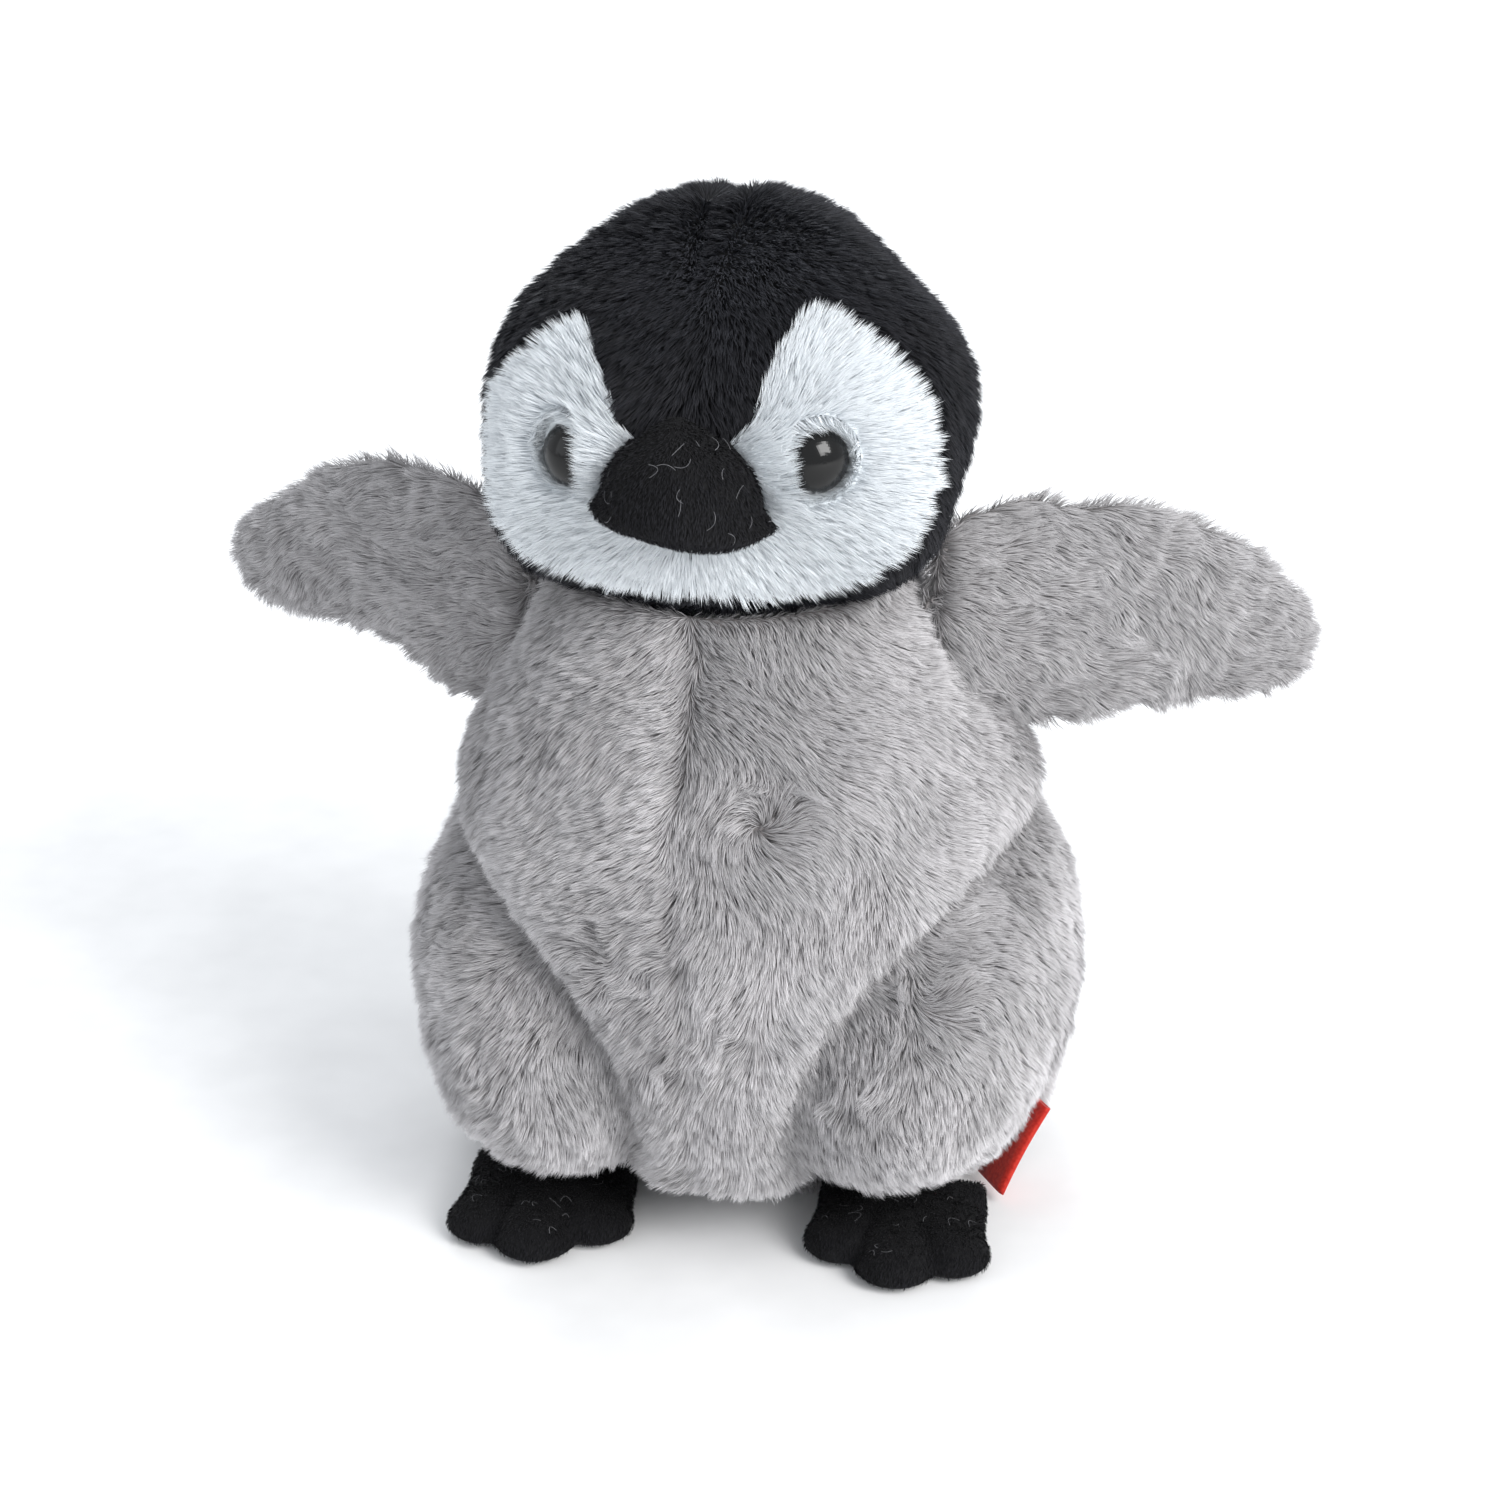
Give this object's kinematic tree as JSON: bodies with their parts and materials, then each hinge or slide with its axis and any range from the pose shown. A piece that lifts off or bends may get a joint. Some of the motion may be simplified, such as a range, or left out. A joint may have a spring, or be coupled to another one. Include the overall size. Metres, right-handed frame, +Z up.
{
  "type": "plush penguin",
  "caption": "Plush penguin chick: pear-shaped grey body with thigh lobes, black-hooded head with white cheeks, round beak, swept-back flippers and flat three-toed felt feet.",
  "frame": {"origin": "middle of the body's flat base on the floor, below the body's axis", "axes": "+Z up, the face looks along -Y, +X towards the toy's own left flipper"},
  "size_m": [0.216, 0.1322, 0.202],
  "materials": {
    "grey_plush": "minky pile, matt",
    "black_plush": "short pile, matt",
    "white_plush": "pile, matt",
    "black_felt": "velour felt, matt",
    "eye_plastic": "glossy",
    "washer_plastic": "natural",
    "filling": "loose polyester fibre",
    "red_ribbon": "woven ribbon, matt"
  },
  "bodies": {
    "torso": {"torso_front_left_panel": "grey_plush", "torso_front_right_panel": "grey_plush", "torso_back_left_panel": "grey_plush", "torso_back_right_panel": "grey_plush", "torso_base_panel": "grey_plush", "torso_stuffing": "filling", "left_haunch_panel": "grey_plush", "right_haunch_panel": "grey_plush", "left_haunch_stuffing": "filling", "right_haunch_stuffing": "filling", "brand_label": "red_ribbon"},
    "neck": {"neck_core": "filling"},
    "head": {"left_hood_panel": "black_plush", "right_hood_panel": "black_plush", "left_cheek_panel": "white_plush", "right_cheek_panel": "white_plush", "chin_panel": "black_plush", "head_stuffing": "filling", "left_eye": "eye_plastic", "right_eye": "eye_plastic", "left_eye_washer": "washer_plastic", "right_eye_washer": "washer_plastic", "beak_upper": "black_felt", "beak_lower": "black_felt", "beak_stuffing": "filling"},
    "left_shoulder": {"left_shoulder_tuck": "grey_plush"},
    "left_flipper": {"left_flipper_outer_panel": "grey_plush", "left_flipper_inner_panel": "grey_plush", "left_flipper_wadding": "filling"},
    "left_foot": {"left_foot_top": "black_felt", "left_foot_sole": "black_felt", "left_foot_pad": "filling"},
    "right_shoulder": {"right_shoulder_tuck": "grey_plush"},
    "right_flipper": {"right_flipper_outer_panel": "grey_plush", "right_flipper_inner_panel": "grey_plush", "right_flipper_wadding": "filling"},
    "right_foot": {"right_foot_top": "black_felt", "right_foot_sole": "black_felt", "right_foot_pad": "filling"}
  },
  "joints": [
    {"name": "head_turn", "type": "hinge", "parent": "torso", "child": "neck", "pos_m": [0, -0.016, 0.164], "axis": [0, 0, 1], "range_deg": [-25, 25], "stiffness_Nm_per_rad": 0.15},
    {"name": "head_nod", "type": "hinge", "parent": "neck", "child": "head", "pos_m": [0, -0.016, 0.164], "axis": [1, 0, 0], "range_deg": [-12, 12], "stiffness_Nm_per_rad": 0.2},
    {"name": "left_flipper_sweep", "type": "hinge", "parent": "torso", "child": "left_shoulder", "pos_m": [0.049, -0.009, 0.116], "axis": [0, 0, 1], "range_deg": [-35, 25], "stiffness_Nm_per_rad": 0.05},
    {"name": "left_flipper_flap", "type": "hinge", "parent": "left_shoulder", "child": "left_flipper", "pos_m": [0.049, -0.009, 0.116], "axis": [0.6018, -0.7986, 0], "range_deg": [-20, 35], "stiffness_Nm_per_rad": 0.06},
    {"name": "left_foot_fold", "type": "hinge", "parent": "torso", "child": "left_foot", "pos_m": [0.0345, -0.024, 0.0037], "axis": [-1, 0, 0], "range_deg": [0, 18], "stiffness_Nm_per_rad": 0.02},
    {"name": "right_flipper_sweep", "type": "hinge", "parent": "torso", "child": "right_shoulder", "pos_m": [-0.049, -0.009, 0.116], "axis": [0, 0, -1], "range_deg": [-35, 25], "stiffness_Nm_per_rad": 0.05},
    {"name": "right_flipper_flap", "type": "hinge", "parent": "right_shoulder", "child": "right_flipper", "pos_m": [-0.049, -0.009, 0.116], "axis": [0.6018, 0.7986, 0], "range_deg": [-20, 35], "stiffness_Nm_per_rad": 0.06},
    {"name": "right_foot_fold", "type": "hinge", "parent": "torso", "child": "right_foot", "pos_m": [-0.0345, -0.024, 0.0037], "axis": [-1, 0, 0], "range_deg": [0, 18], "stiffness_Nm_per_rad": 0.02}
  ]
}
